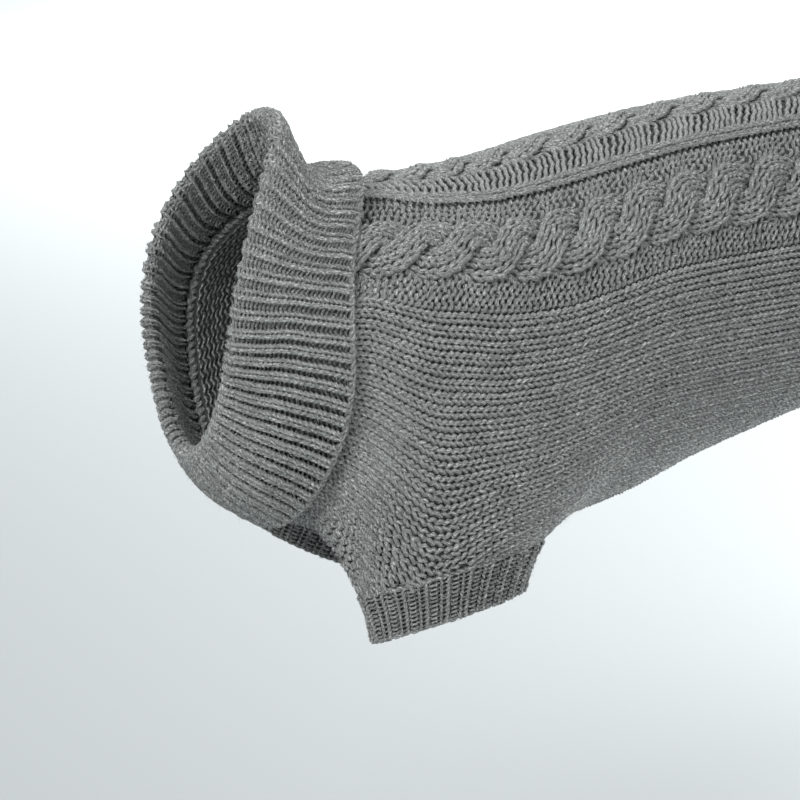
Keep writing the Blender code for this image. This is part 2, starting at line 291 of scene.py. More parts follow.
def collar_fabric():
    """Middle of the collar's wall: up the outer layer, over the fold and down inside."""
    layers = WALL + COLLAR_GAP
    face = ring_fabric(COLLAR_RINGS, RIB_STEPS)
    outer = face.points
    path = list(outer - face.normals * WALL / 2)
    rim, rim_normal = outer[-1], face.normals[-1]
    forward = unit(outer[-1] - outer[-2])
    for turn in np.linspace(0, math.pi, FOLD_STEPS + 1)[1:-1]:
        out = -WALL / 2 - layers / 2 + math.cos(turn) * layers / 2
        path.append(rim + rim_normal * out + forward * math.sin(turn) * layers / 2)
    neck = Fabric(body_surface(np.array([[0], [0.05]]), ROUND))
    ahead = unit(neck.points[0] - neck.points[1])
    target = neck.points[0] - neck.normals[0] * WALL / 2 + ahead * SEAM_GAP * 1.3
    rows = np.linspace(0, 2, len(outer))
    seam = np.argmin(np.abs(rows - COLLAR_SEAM_ROW))
    inner = outer - face.normals * (WALL / 2 + layers)
    share = (2 - rows[:, None, None]) / (2 - COLLAR_SEAM_ROW)
    inner = inner + (target - inner[seam]) * share**2
    return Fabric(np.array(path + list(inner[seam:][::-1])))


def cuff_fabric(side):
    """Outer face of a leg cuff."""
    turns = np.linspace(0, math.tau, BODY_TURN // 2 + 1)
    top, top_along, top_across = loop_axes(LEG_HOLES, side)
    end, end_along, end_across = loop_axes(CUFF_ENDS, side)
    drop = (end - top) / np.linalg.norm(end - top) * CUFF_DROP
    rings = []
    for share in np.linspace(0, 1, RIB_STEPS + 1):
        waist = 1 - CUFF_WAIST * math.sin(math.pi * share)
        middle = top + drop + (end - top - drop) * share
        along = (top_along + (end_along - top_along) * share) * waist
        across = (top_across + (end_across - top_across) * share) * waist
        rings.append(middle + np.outer(np.cos(turns), along) + np.outer(np.sin(turns), across))
    return Fabric(np.array(rings))


# ---------- wool
LIGHT_FIBRE = (0.68, 0.705, 0.69, 1)
MIDDLE_FIBRE = (0.225, 0.237, 0.23, 1)
DARK_FIBRE = (0.035, 0.038, 0.036, 1)
LOOSE_FIBRE = (0.16, 0.17, 0.165, 1)
# painted shade in the troughs between the bars of the reverse knitting
SHADE_BETWEEN_BARS = (0.02, 0.022, 0.021, 1)
# painted shade: dark flecked colours of the sheet under the stitches, standing in for the shaded depth of
# the fabric
DEPTH_SHADE_DARK = (0.028, 0.03, 0.029, 1)
DEPTH_SHADE_PALE = (0.1, 0.106, 0.103, 1)
TWIST = 14  # mm of yarn for each turn of its two plies
YARN_ROUND = 6  # mm round the yarn


class Wool:
    """A material and short ways to add nodes to it."""

    def __init__(self, name, roughness, sheen):
        self.material = bpy.data.materials.new(name)
        self.material.use_nodes = True
        self.tree = self.material.node_tree
        self.shader = self.tree.nodes["Principled BSDF"]
        self.fill(self.shader, {"Roughness": roughness, "Specular IOR Level": 0.2})
        self.fill(self.shader, {"Sheen Weight": sheen, "Sheen Roughness": 0.5})
        self.place = self.node("TexCoord", {}).outputs["Object"]

    def fill(self, node, sockets):
        """Sets or links a node's sockets."""
        for label, value in sockets.items():
            if hasattr(value, "is_output"):
                self.tree.links.new(value, node.inputs[label])
            else:
                node.inputs[label].default_value = value

    def node(self, kind, sockets, **settings):
        node = self.tree.nodes.new("ShaderNode" + kind)
        for label, value in settings.items():
            setattr(node, label, value)
        self.fill(node, sockets)
        return node

    def yarn_map(self):
        """Mm along the yarn and turns round it, or mm along and across a backing."""
        places = self.node("UVMap", {}, uv_map="Yarn").outputs["UV"]
        split = self.node("SeparateXYZ", {"Vector": places})
        return split.outputs["X"], split.outputs["Y"]

    def noise(self, where, scale, detail=2, rough=0.6):
        sockets = {"Vector": where, "Scale": scale, "Detail": detail, "Roughness": rough}
        return self.node("TexNoise", sockets).outputs["Fac"]

    def spread(self, value, low, high, low_out=0, high_out=1):
        sockets = dict(enumerate((value, low, high, low_out, high_out)))
        return self.node("MapRange", sockets).outputs["Result"]

    def mix(self, share, first, second):
        return self.node("Mix", {"Factor": share, 6: first, 7: second}, data_type="RGBA").outputs[2]

    def calc(self, operation, first, second=0):
        return self.node("Math", {0: first, 1: second}, operation=operation).outputs["Value"]

    def painted(self, colour, height=None, strength=0, distance=0):
        """The material with its colour and relief."""
        self.fill(self.shader, {"Base Color": colour})
        if height:
            bump = self.node("Bump", {"Strength": strength, "Distance": distance, "Height": height})
            self.fill(self.shader, {"Normal": bump.outputs["Normal"]})
        return self.material


def yarn_wool(name):
    """Heather yarn: pale, mid and dark fibres along two twisted plies, and nap."""
    wool = Wool(name, 0.9, 0.25)
    run, around = wool.yarn_map()
    twisted = wool.calc("ADD", around, wool.calc("MULTIPLY", run, 1 / TWIST))

    def laid(length_mm, width_mm):
        """Places along and round the yarn in units of one fibre clump."""
        along = wool.calc("MULTIPLY", run, 1 / length_mm)
        across = wool.calc("MULTIPLY", twisted, YARN_ROUND / width_mm)
        return wool.node("CombineXYZ", {"X": along, "Y": across}).outputs["Vector"]

    pale = wool.spread(wool.noise(laid(1.3, 0.6), 1, 3, 0.7), 0.5, 0.6)
    dark = wool.spread(wool.noise(laid(1.6, 0.7), 1.31, 3, 0.7), 0.46, 0.36)
    colour = wool.mix(pale, MIDDLE_FIBRE, LIGHT_FIBRE)
    colour = wool.mix(dark, colour, DARK_FIBRE)
    drift = wool.spread(wool.noise(wool.place, 95), 0.3, 0.7, 0, 0.22)
    colour = wool.mix(drift, colour, DARK_FIBRE)
    plies = wool.calc("ABSOLUTE", wool.calc("SINE", wool.calc("MULTIPLY", twisted, math.tau)))
    nap = wool.noise(laid(0.9, 0.3), 1)
    return wool.painted(colour, wool.calc("ADD", wool.calc("MULTIPLY", plies, 0.5), nap), 0.9, 0.0004)


def depth_shade_wool(name):
    """Painted shade: a dark flecked colour for the depth of the fabric seen between the stitches."""
    wool = Wool(name, 0.95, 0.1)
    fleck = wool.noise(wool.place, 900, 3)
    return wool.painted(wool.mix(fleck, DEPTH_SHADE_DARK, DEPTH_SHADE_PALE), fleck, 0.7, 0.0005)


def inside_wool(name):
    """The reverse of the knitting: waved bars of yarn side by side, with painted shade between the bars."""
    wool = Wool(name, 0.9, 0.2)
    down, across = wool.yarn_map()
    wave = wool.calc("SINE", wool.calc("MULTIPLY", across, math.tau / SIDE_PITCH))
    along = wool.calc("MULTIPLY", down, math.tau / COURSE)
    bars = wool.calc("SINE", wool.calc("ADD", along, wool.calc("MULTIPLY", wave, 1.3)))
    fleck = wool.noise(wool.place, 800, 3, 0.7)
    colour = wool.mix(wool.spread(fleck, 0.4, 0.62), DARK_FIBRE, LIGHT_FIBRE)
    # painted shade: darker in the troughs between the bars
    colour = wool.mix(wool.spread(bars, -0.9, 0.5), SHADE_BETWEEN_BARS, colour)
    return wool.painted(colour, wool.calc("ADD", wool.calc("MULTIPLY", bars, 1.5), fleck), 1, 0.0006)


def fuzz_wool(name):
    """Single fibres, pale and dark."""
    wool = Wool(name, 0.8, 0.3)
    fleck = wool.spread(wool.noise(wool.place, 700), 0.42, 0.6)
    return wool.painted(wool.mix(fleck, LOOSE_FIBRE, LIGHT_FIBRE))


# ---------- meshes
SIDES = 3  # the yarn is a three-sided tube, flat underneath and shaded round
TURNS = np.radians((-30, 90, 210))
YARN_FLAT = 0.95  # the yarn's height as a share of its width


def mesh_object(name, points, groups, materials, maps, second=0):
    """An object of groups of equally sized faces, with its maps given for each corner.

    The last `second` faces take the second material. Points that no face uses are left out.
    """
    sizes = np.concatenate([np.full(len(group), group.shape[1]) for group in groups])
    corners = np.concatenate([group.ravel() for group in groups])
    used = np.zeros(len(points), bool)
    used[corners] = True
    points, corners = points[used], (np.cumsum(used) - 1)[corners]
    mesh = bpy.data.meshes.new(name)
    mesh.vertices.add(len(points))
    lifted = (points + (0, 0, ORIGIN_RISE)) * MM
    mesh.vertices.foreach_set("co", lifted.astype(np.float32).ravel())
    mesh.loops.add(len(corners))
    mesh.loops.foreach_set("vertex_index", corners.astype(np.int32))
    mesh.polygons.add(len(sizes))
    mesh.polygons.foreach_set("loop_start", (np.cumsum(sizes) - sizes).astype(np.int32))
    mesh.polygons.foreach_set("loop_total", sizes.astype(np.int32))
    mesh.update(calc_edges=True)
    for label, places in maps.items():
        layer = mesh.uv_layers.new(name=label)
        layer.data.foreach_set("uv", places.astype(np.float32).ravel())
    for material in materials:
        mesh.materials.append(material)
    if second:
        chosen = np.arange(len(sizes)) >= len(sizes) - second
        mesh.polygons.foreach_set("material_index", chosen.astype(np.int32))
    mesh.shade_smooth()
    made = bpy.data.objects.new(name, mesh)
    bpy.context.scene.collection.objects.link(made)
    return made


def face_corners(start, end, low, high):
    """Each quad's corners in a map: start to end along the yarn, low to high across it."""
    return np.stack([start, low, start, high, end, high, end, low], -1).reshape(-1, 2)


def yarn_object(name, path, up, present, half_width, material, closed=False, flat=YARN_FLAT):
    """Courses of yarn as tubes.

    path and up are (courses, stitches, phases, 3) and present is (courses, stitches): the yarn
    ends where a stitch is missing. closed joins each course's end to its start.
    """
    courses, stitches, phases = path.shape[:3]
    count = stitches * phases
    centre, top = (grid.reshape(courses, count, 3) for grid in (path, up))
    shown = np.repeat(present, phases, axis=1)
    if closed:
        tangent = unit(np.roll(centre, -1, axis=1) - np.roll(centre, 1, axis=1))
    else:
        tangent = unit(np.gradient(centre, axis=1))
    side = unit(np.cross(tangent, top))
    top = np.cross(side, tangent)
    wide = np.broadcast_to(half_width, path.shape[:3]).reshape(courses, count, 1)
    ring = centre[:, :, None] + side[:, :, None] * (np.cos(TURNS) / 0.866 * wide)[..., None]
    ring = ring + top[:, :, None] * (np.sin(TURNS) * (wide * flat))[..., None]
    index = np.arange(courses * count).reshape(courses, count)
    link = shown & np.roll(shown, -1, axis=1)
    if not closed:
        link[:, -1] = False
    a, b = index[link], np.roll(index, -1, axis=1)[link]
    row, where = np.nonzero(link)
    step = np.linalg.norm(np.roll(centre, -1, axis=1) - centre, axis=-1)
    run = np.cumsum(step, axis=1) - step
    run, run_next = run[link], (run + step)[link]
    faces, yarn_map, bake_map = [], [], []
    for s in range(SIDES):
        t = (s + 1) % SIDES
        faces.append(np.stack([a * SIDES + s, a * SIDES + t, b * SIDES + t, b * SIDES + s], 1))
        yarn_map.append(face_corners(run, run_next, s / SIDES + 7 * row, (s + 1) / SIDES + 7 * row))
        low, high = ((row + 0.04 + 0.92 * k / SIDES) / courses for k in (s, s + 1))
        bake_map.append(face_corners(where / count, (where + 1) / count, low, high))
    caps = []
    small = np.array([[0, 0], [0.001, 0], [0.001, 0.001]])
    first = shown & ~np.roll(link, 1, axis=1)
    for at, order in ((index[first], (2, 1, 0)), (index[shown & ~link], (0, 1, 2))):
        caps.append(np.stack([at * SIDES + k for k in order], 1))
        yarn_map.append(np.broadcast_to(small * 100, (len(at), 3, 2)).reshape(-1, 2))
        spot = np.stack([(at % count) / count, (at // count + 0.97) / courses], -1)
        bake_map.append((spot[:, None, :] + small * 0.2).reshape(-1, 2))
    groups = [np.concatenate(faces), np.concatenate(caps)]
    maps = {"OFBake": np.concatenate(bake_map), "Yarn": np.concatenate(yarn_map)}
    return mesh_object(name, ring.reshape(-1, 3), groups, [material], maps)


def shell_object(name, fabric, cells, out, inner):
    """A closed shell of cells round a fabric's tube, between two heights."""
    places = [np.linspace(0, last, many + 1) for last, many in zip(fabric.last, cells)]
    row, column = np.meshgrid(*places, indexing="ij")
    if callable(out):
        out = out(row, column)
    layers = [fabric.place(row, column, height + 0 * row)[0] for height in (out, inner)]
    index = np.arange(row.size).reshape(row.shape)
    index[:, -1] = index[:, 0]
    quads = np.stack([index[:-1, :-1], index[1:, :-1], index[1:, 1:], index[:-1, 1:]], -1)
    middles = [(grid[:-1, :-1] + grid[1:, 1:]) / 2 for grid in (row, column)]
    quads = quads[fabric.hole_radius(*middles) > 1]
    rim = {}
    for quad in quads.tolist():
        for pair in zip(quad, quad[1:] + quad[:1]):
            if rim.pop(pair[::-1], None) is None:
                rim[pair] = True
    walls = np.array([[p, p + row.size, q + row.size, q] for p, q in rim])
    faces = np.concatenate([quads, walls, quads[:, ::-1] + row.size])
    points = np.concatenate([layer.reshape(-1, 3) for layer in layers])
    # the faces of the outer layer must look outward
    p = points[faces[0]]
    if np.cross(p[1] - p[0], p[2] - p[0]) @ fabric.normals[0, 0] < 0:
        faces = faces[:, ::-1]
    own = [bilinear(grid, row, column).ravel() for grid in (fabric.along, fabric.across)]
    place = np.stack([np.concatenate([grid, grid])[faces] for grid in own], -1)
    maps = {"Yarn": place.reshape(-1, 2)}
    # the outer face and the walls take the painted shade, the inner face the reverse of the knitting
    return mesh_object(name, points, [faces], [depth_shade, inside], maps, len(quads))


# ---------- stitches of the body
LOOP_DEPTH = 1.25  # mm that a loop's legs and ends lie before and behind the middle
FOOT_SINK = 0.3  # mm more for their feet, so that the line between two wales is dark
LEG_SWELL = 0.13  # share by which a leg is thicker in its middle and thinner at its ends
LOOPS = {
    # kind of wale: plain loops (1) or purls (0), sideways swing of the legs in pitches, mm of half
    # a loop's reach along the wale and of half the yarn's width, share of LOOP_DEPTH, how far the
    # legs stand together in pitches, mm that the ends are sunk, mm above the plain knitting
    "knit": (1, 0.232, 2.5, 0.97, 1, 0.018, 0.3, 0),
    "line": (1, 0.19, 2.5, 0.86, 0.9, 0.06, 1.5, 0.7),
    "cable": (1, 0.24, 2.45, 1.07, 1, 0.018, 0.3, 0),
    "purl": (0, 0.19, 2.1, 0.94, 1, 0, 0, -0.65),
    "bar": (0, 0.08, 1.1, 0.88, 0.5, 0, 0, -0.7),
    "rod": (0, 0.03, 0.3, 1.06, 0.1, 0, 0, 0),
}
SLACK = (110, 200)  # mm down, between which the plain wales grow straighter
SLACK_LEAN = 0.03
SLACK_SINK = 0.5
ROD_SLANT = 0.3  # mm that the inner gutter's bars run down for each mm across
COURSE = 2.8  # mm from course to course along a wale
FIRST_COURSE = 3.5  # mm from the neck edge, under the collar
BODY_COURSES = np.arange(141)
MIDDLE = -1.6  # mm, the middle of the fabric below the form's face

# The pattern's bands from its middle line down each side, with their wales' kind and number.
BANDS = (
    ("spine_cable", "cable", 3),
    ("inner_gutter", "rod", 3),
    ("knit_line", "line", 2),
    ("outer_gutter", "bar", 2),
    ("side_cable", "cable", 6),
    ("lower_gutter", "purl", 3),
)
SIDE_CABLE = slice(4, 6)  # the ends between which it lies
PATTERN = [
    (name, kind, wales, band, number)
    for band, (name, kind, wales) in enumerate(BANDS)
    for number in range(wales)
]
# Where the bands lie, in mm round to the left of the spine. At the neck the pattern is turned a
# little to the right.
STATIONS = (
    # mm down the body, the pattern's middle line, then the end of each band
    (18, -20, -10, 8, 15, 33.5, 62.5, 69.5),
    (30, -20, -10, 11.5, 21, 36, 64.5, 75),
    (44, -19, -8, 17, 28, 42, 69, 81),
    (70, -14, -2, 25, 35, 48, 75, 86.5),
    (100, -11, 1, 25.5, 35, 47.5, 75, 86.5),
    (145, -8, 4, 28, 36, 47, 73, 83.5),
    (230, -4, 8, 29, 37, 48, 73, 85),
    (360, 0, 11, 29, 37, 48, 72, 84),
)
SIDE_PITCH = 4.9  # mm from wale to wale of the plain knitting
SIDE_WALES = 40
# The knitting is drawn together in front of the leg and fans out over it.
FAN = (
    # mm down, the pitch next to the pattern, what each further wale loses
    (0, 4, 0.02),
    (24, 4.15, -0.018),
    (39, 4.5, -0.06),
    (48, 4.75, -0.068),
    (58, 4.9, -0.02),
    (70, 5, 0.05),
    (86, 4.95, 0.064),
    (104, 4.9, 0.084),
    (122, 4.95, 0.08),
    (200, 5, 0.04),
    (360, 5, 0),
)
FAN_WALES = 18  # beyond them the pitch stays
CABLE_PITCH = 20.4  # mm from crossing to crossing
CABLE_STARTS = {"spine_cable": 11, "side_cable": 0.5}
CABLE_UP = 1.2  # mm that a cable's middle stands above the plain knitting
CABLE_SWING = {"spine_cable": 1.5, "side_cable": 2.3}  # mm up and down of its strands
CABLE_CROWN = 0.7  # mm that a strand's side wales lie below its middle one
CABLE_TURN = 1.25  # how sharply the strands turn across the cable
CABLE_WAIST = 0.26  # share of its width that a cable loses where its strands cross
STRAND = 3  # wales in each of a cable's two strands
DOWN = np.arange(421)  # mm down the body, where the tables are given
EASE = 10  # mm each way over which their values are eased


def eased(table):
    """Values given at places down the body, eased, at every mm."""
    places, *columns = zip(*table)
    ease = np.hanning(2 * EASE + 1)
    padded = [np.pad(np.interp(DOWN, places, column), EASE, mode="edge") for column in columns]
    return np.array([np.convolve(line, ease / ease.sum(), mode="valid") for line in padded])


STATION_TABLE = eased(STATIONS)
FAN_TABLE = eased(FAN)


def fan_out(down, number):
    """How far the plain knitting has run from the pattern at a number of wales."""
    pitch, loss = [np.interp(down, DOWN, line) for line in FAN_TABLE]
    near = min(number, FAN_WALES)
    return pitch * near - loss * near**2 / 2 + (pitch - loss * near) * (number - near)


def cable_turn(name, down):
    """How far round a cable's strands are, half a turn for each crossing."""
    return (down - CABLE_STARTS[name]) / CABLE_PITCH * math.pi


def band_ends(down):
    """The pattern's middle line and the distances from it at which the bands end."""
    down = np.asarray(down, float)
    middle, *ends = [np.interp(down, DOWN, line) for line in STATION_TABLE]
    ends = [0 * middle] + [end - middle for end in ends]
    ends[1] = ends[1] * (1 - CABLE_WAIST * np.sin(cable_turn("spine_cable", down)) ** 4)
    waist = CABLE_WAIST * np.sin(cable_turn("side_cable", down)) ** 4
    low, high = ends[SIDE_CABLE]
    return middle, ends, waist * (high - low) / 2


def wale_place(down, sign, wale):
    """The middle and the width of a wale on one side of the pattern's middle line."""
    middle, ends, waist = band_ends(down)
    if wale >= len(PATTERN):
        low, high = (ends[-1] + fan_out(down, wale - len(PATTERN) + edge) for edge in (0, 1))
    else:
        _, kind, wales, band, number = PATTERN[wale]
        if kind != "cable":
            low, high = ends[SIDE_CABLE]
            ends[SIDE_CABLE] = low + waist, high - waist
        step = (ends[band + 1] - ends[band]) / wales
        low, high = (ends[band] + step * (number + edge) for edge in (0, 1))
    return middle + sign * (low + high) / 2, high - low


def cable_loops(sign, wale, sway, start, down):
    """Where the loops of a cable's wale lie: along the body, across it and how high."""
    name, _, _, _, number = PATTERN[wale]
    middle, ends, _ = band_ends(down)
    if name == "spine_cable":
        half, centre = ends[1], middle
        slot = number + STRAND if sign > 0 else STRAND - 1 - number
        side = 1
    else:
        low, high = ends[SIDE_CABLE]
        half, centre = (high - low) / 2, middle + sign * (low + high) / 2
        slot = number
        side = sign
    crossed = np.cos(cable_turn(name, start)) < 0
    turn = cable_turn(name, down) + np.where(crossed == (slot >= STRAND), math.pi, 0)
    # the strand swings from one side of its cable (1) to the other (-1)
    level = np.tanh(CABLE_TURN * np.cos(turn))
    swing = level / math.tanh(CABLE_TURN)
    slope = -np.sin(turn) * CABLE_TURN * (1 - level**2) / math.tanh(CABLE_TURN)
    step = slot % STRAND - 1
    lateral = (step + side * sway) * half / 3
    slope = slope * half / 2 * math.pi / CABLE_PITCH
    steep = np.sqrt(1 + slope**2)
    across = centre + side * (half / 2 * swing + lateral / steep)
    rise = CABLE_UP + CABLE_SWING[name] * np.sin(turn) - CABLE_CROWN * step * step
    return down - lateral * slope / steep, across, rise


def phases_of(count):
    """Even places round a loop, from its left foot over its head to its right foot."""
    return (np.arange(count) + 0.5) / count * math.tau - math.pi


def loop_relief(phi, knit, deep, sink):
    """How far a loop lies below the fabric's middle, with its ends or its legs (purl) deepest."""
    ends = np.cos(2 * phi)
    sunk = sink * np.clip(ends, 0, 1) + FOOT_SINK * (1 - np.cos(phi)) / 2
    return (2 * knit - 1) * deep * LOOP_DEPTH * ends + knit * sunk


def swollen(width, phi, knit):
    """Half the yarn's width round a loop."""
    return width * (1 - LEG_SWELL * knit * np.cos(2 * phi))


def back_stitches(fabric, wanted, count):
    """Yarn of the back panel's wanted wales: path, up, present and half width."""
    phi = phases_of(count)
    shape = (len(BODY_COURSES), len(wanted), count)
    length = FIRST_COURSE + COURSE * BODY_COURSES[:, None]
    jitter = noise.normal(0, 1, shape[:2] + (4,))
    kinds = [PATTERN[wale][1] if wale < len(PATTERN) else "knit" for _, wale in wanted]
    columns = np.array([LOOPS[kind] for kind in kinds]).T[..., None]
    knit, lean, height, width, deep, shift, sink, rise = columns
    along, across, out = np.zeros(shape), np.zeros(shape), np.zeros(shape) + rise
    slack = np.interp(length, SLACK, (0, 1)) * np.array([kind == "knit" for kind in kinds])
    lean = lean - SLACK_LEAN * slack[..., None]
    sink = sink + SLACK_SINK * slack[..., None]
    reach = height * (1 + 0.06 * jitter[..., :1]) * np.cos(phi) + 0.12 * jitter[..., 1:2]
    sway = phi / math.tau + lean * (1 + 0.15 * jitter[..., 2:3]) * np.sin(2 * phi)
    sway = sway - shift * np.sin(phi)
    for place, ((sign, wale), kind) in enumerate(zip(wanted, kinds)):
        path, wide = wale_place(length, sign, wale)
        start = fabric.down_at(length, path)
        if kind in ("rod", "bar", "purl"):
            path = path + wide * sway[:, place]
        down = fabric.down_at(length + reach[:, place], path)
        if kind == "cable":
            laid = cable_loops(sign, wale, sway[:, place], start, down)
            along[:, place], across[:, place], out[:, place] = laid
            continue
        middle, wide = wale_place(down, sign, wale)
        across[:, place] = middle + wide * sway[:, place]
        along[:, place] = down
        if kind == "rod":
            # the slant is counted from the gutter's middle wale
            along[:, place] -= ROD_SLANT * wide * (wale - 4 + sign * sway[:, place])
    out = out + MIDDLE - loop_relief(phi, knit, deep, sink) + 0.14 * jitter[..., 3:4]
    path, up, present, angle = fabric.lay(along, across, out)
    present &= angle < SEAM_ANGLE - SEAM_HALF_GAP
    return path, up, present, swollen(width * (1 + 0.06 * jitter[..., 1:2]), phi, knit)


def belly_stitches(fabric, wales, count):
    """Plain knitting on the belly strip, counted from the keel."""
    phi = phases_of(count)
    jitter = noise.normal(0, 1, (len(BODY_COURSES), len(wales), 3))[..., None]
    knit, lean, height, width, deep, _, sink, _ = LOOPS["knit"]
    length = FIRST_COURSE + COURSE * BODY_COURSES[:, None, None] + height * np.cos(phi)
    along = fabric.down_at(length + 0.1 * jitter[:, :, 0], SIDE_PITCH * wales[:, None])
    across = SIDE_PITCH * (wales[:, None] + phi / math.tau + lean * np.sin(2 * phi))
    out = MIDDLE - loop_relief(phi, knit, deep, sink) + 0.08 * jitter[:, :, 1]
    path, up, present, angle = fabric.lay(along, across, out)
    present &= angle > SEAM_ANGLE + SEAM_HALF_GAP
    return path, up, present, swollen(width * (1 + 0.06 * jitter[:, :, 2]), phi, knit)


# piece, the wales that it takes on the right and on the left, and the points in each stitch
SPINE_WALES = BANDS[0][2]
ALL_WALES = len(PATTERN) + SIDE_WALES
PANELS = (
    ("left_back_knit", (0, SPINE_WALES), (0, len(PATTERN)), 8),
    ("left_flank_knit", (0, 0), (len(PATTERN), ALL_WALES), 8),
    ("right_back_knit", (SPINE_WALES, len(PATTERN)), (0, 0), 6),
    ("right_flank_knit", (len(PATTERN), ALL_WALES), (0, 0), 6),
)
BELLY_WALES = np.arange(-10, 11)

body_wool = yarn_wool("body_wool")
rib_wool = yarn_wool("rib_wool")
# painted shade for the sheet under the stitches
depth_shade = depth_shade_wool("depth_shade_wool")
inside = inside_wool("inside_wool")
loose_wool = fuzz_wool("loose_wool")
knits = {}
parts = {}
back = BodyFabric(0)
for label, right, left, count in PANELS:
    wanted = [(-1, wale) for wale in reversed(range(*right))] + [(1, wale) for wale in range(*left)]
    parts[label] = back_stitches(back, wanted, count)
    knits[label] = yarn_object(label, *parts[label], body_wool)
belly = belly_stitches(BodyFabric(180), BELLY_WALES, 6)
knits["belly_knit"] = yarn_object("belly_knit", *belly, body_wool)


# ---------- ribbing
def nowhere(*places):
    return 0 * places[0]


def rib_stitches(fabric, courses, count, rib):
    """One by one ribbing round a tube, from its first edge."""
    pairs, phi = rib["pairs"], phases_of(count)
    shape = (len(courses), 2 * pairs, count)
    jitter = noise.normal(0, 1, shape[:2] + (4,))
    number = np.arange(2 * pairs)[:, None]
    knit = (number % 2 == 0).astype(float)
    sharp = rib["sharp"] * (1 - knit)
    peak = (1 - sharp) * np.cos(phi) + sharp * (1 - 2 * np.abs(phi) / math.pi)
    height = rib["knit_height"] * knit + rib["bar_height"] * (1 - knit)
    along = rib["start"] + rib["course"] * courses[:, None, None]
    along = along + height * (1 + 0.07 * jitter[..., :1]) * peak + 0.09 * jitter[..., 1:2]
    # the ribs' places round the tube, from their pitch at each angle
    turns = fabric.last[1]
    angle = np.linspace(-180, 180, turns + 1)
    ring = fabric.across[int(rib["even_row"] * fabric.last[0])]
    weight = 1 / np.interp(np.abs(angle), *np.array(rib["pitches"]).T)
    steps = np.diff(ring) * (weight[1:] + weight[:-1]) / 2
    told = np.insert(np.cumsum(steps), 0, 0)
    told = told / told[-1] * pairs
    middle = number / 2
    open_share = rib["open"](np.abs(np.interp(middle % pairs, told, angle)), along)
    share = rib["knit_share"] - (rib["knit_share"] - rib["open_share"]) * open_share
    share = share * knit + (1 - share) * (1 - knit)
    lean = (rib["lean"] * knit + rib["bar_lean"] * (1 - knit)) * (1 + 0.12 * jitter[..., 2:3])
    sway = phi / math.tau + lean * np.sin(2 * phi) - rib["apart"] * knit * np.sin(phi)
    across = middle + share * sway
    column = np.interp(across % pairs, told, np.arange(turns + 1))
    row = np.interp(along, fabric.run, np.arange(len(fabric.run)))
    slide = rib["slide"](column / turns * 360 - 180, along)
    before, after = (bilinear(fabric.across, row, np.clip(column + k, 0, turns)) for k in (-2, 2))
    column = (column + slide * 4 / np.maximum(after - before, 0.5)) % turns
    relief = rib["lift"] * knit - rib["sink"] * (1 - knit)
    relief = relief - (2 * knit - 1) * rib["depth"] * np.cos(2 * phi)
    relief = relief * (1 - 0.45 * open_share) * (1 - 0.65 * rib["fold"](along))
    relief = relief - rib["foot_sink"] * (1 + open_share) * (1 - knit) * (1 - np.cos(phi)) / 2
    out = rib["middle"] + relief + 0.12 * jitter[..., 3:4]
    path, up = fabric.place(row, column, out)
    bar = rib["bar_yarn"] + rib["bar_more"] * open_share
    leg = rib["yarn"] + rib["more"] * open_share
    half_width = (leg * knit + bar * (1 - knit)) * (1 + 0.07 * jitter[..., 1:2])
    return path, up, np.ones(shape[:2], bool), swollen(half_width, phi, knit)


def knit_rib(label, fabric, courses, count, sizes):
    """A piece of ribbing. Its parts are kept for the loose fibres."""
    parts[label] = rib_stitches(fabric, courses, count, sizes)
    knits[label] = yarn_object(label, *parts[label], rib_wool, closed=True)


collar = collar_fabric()
RIM = collar.run[2 * RIB_STEPS]  # mm from the free edge to the fold's start


def collar_open(angle, along):
    """Where the ribs are pulled apart (1): the upper side near the fold."""
    return np.clip((100 - angle) / 55, 0, 1) * np.clip((along - 6) / 16, 0, 1)


# degrees from the top of the neck, and how far round the ribs have slid for each mm along them
SLID_AT_EDGE = ((0, 26, 50, 70, 90, 110, 140, 165, 180), (0, 0.5, 0.38, 0.2, 0.1, 0.33, 0.45, 0.3, 0))
SLID_AT_FOLD = ((0, 30, 50, 70, 90, 110, 140, 180), (0, 0.05, 0.2, 0.4, 0.5, 0.5, 0.4, 0))


def collar_slide(angle, along):
    """How far round, in mm, the ribs have slid at a distance from the free edge."""
    at_edge, at_fold = (np.interp(np.abs(angle), *table) for table in (SLID_AT_EDGE, SLID_AT_FOLD))
    near = np.clip(along, 0, 18)
    far = np.clip(along, 18, RIM)
    far = np.where(far < 26, (far - 18) ** 2 / 16, far - 22)
    return np.sign(angle) * (at_fold * far - at_edge * (near - near**2 / 36))


def collar_fold(along):
    """Where the ribs lie flatter (1): over the fold and down the inner layer."""
    return np.clip((along - RIM + 9) / 9, 0, 1)


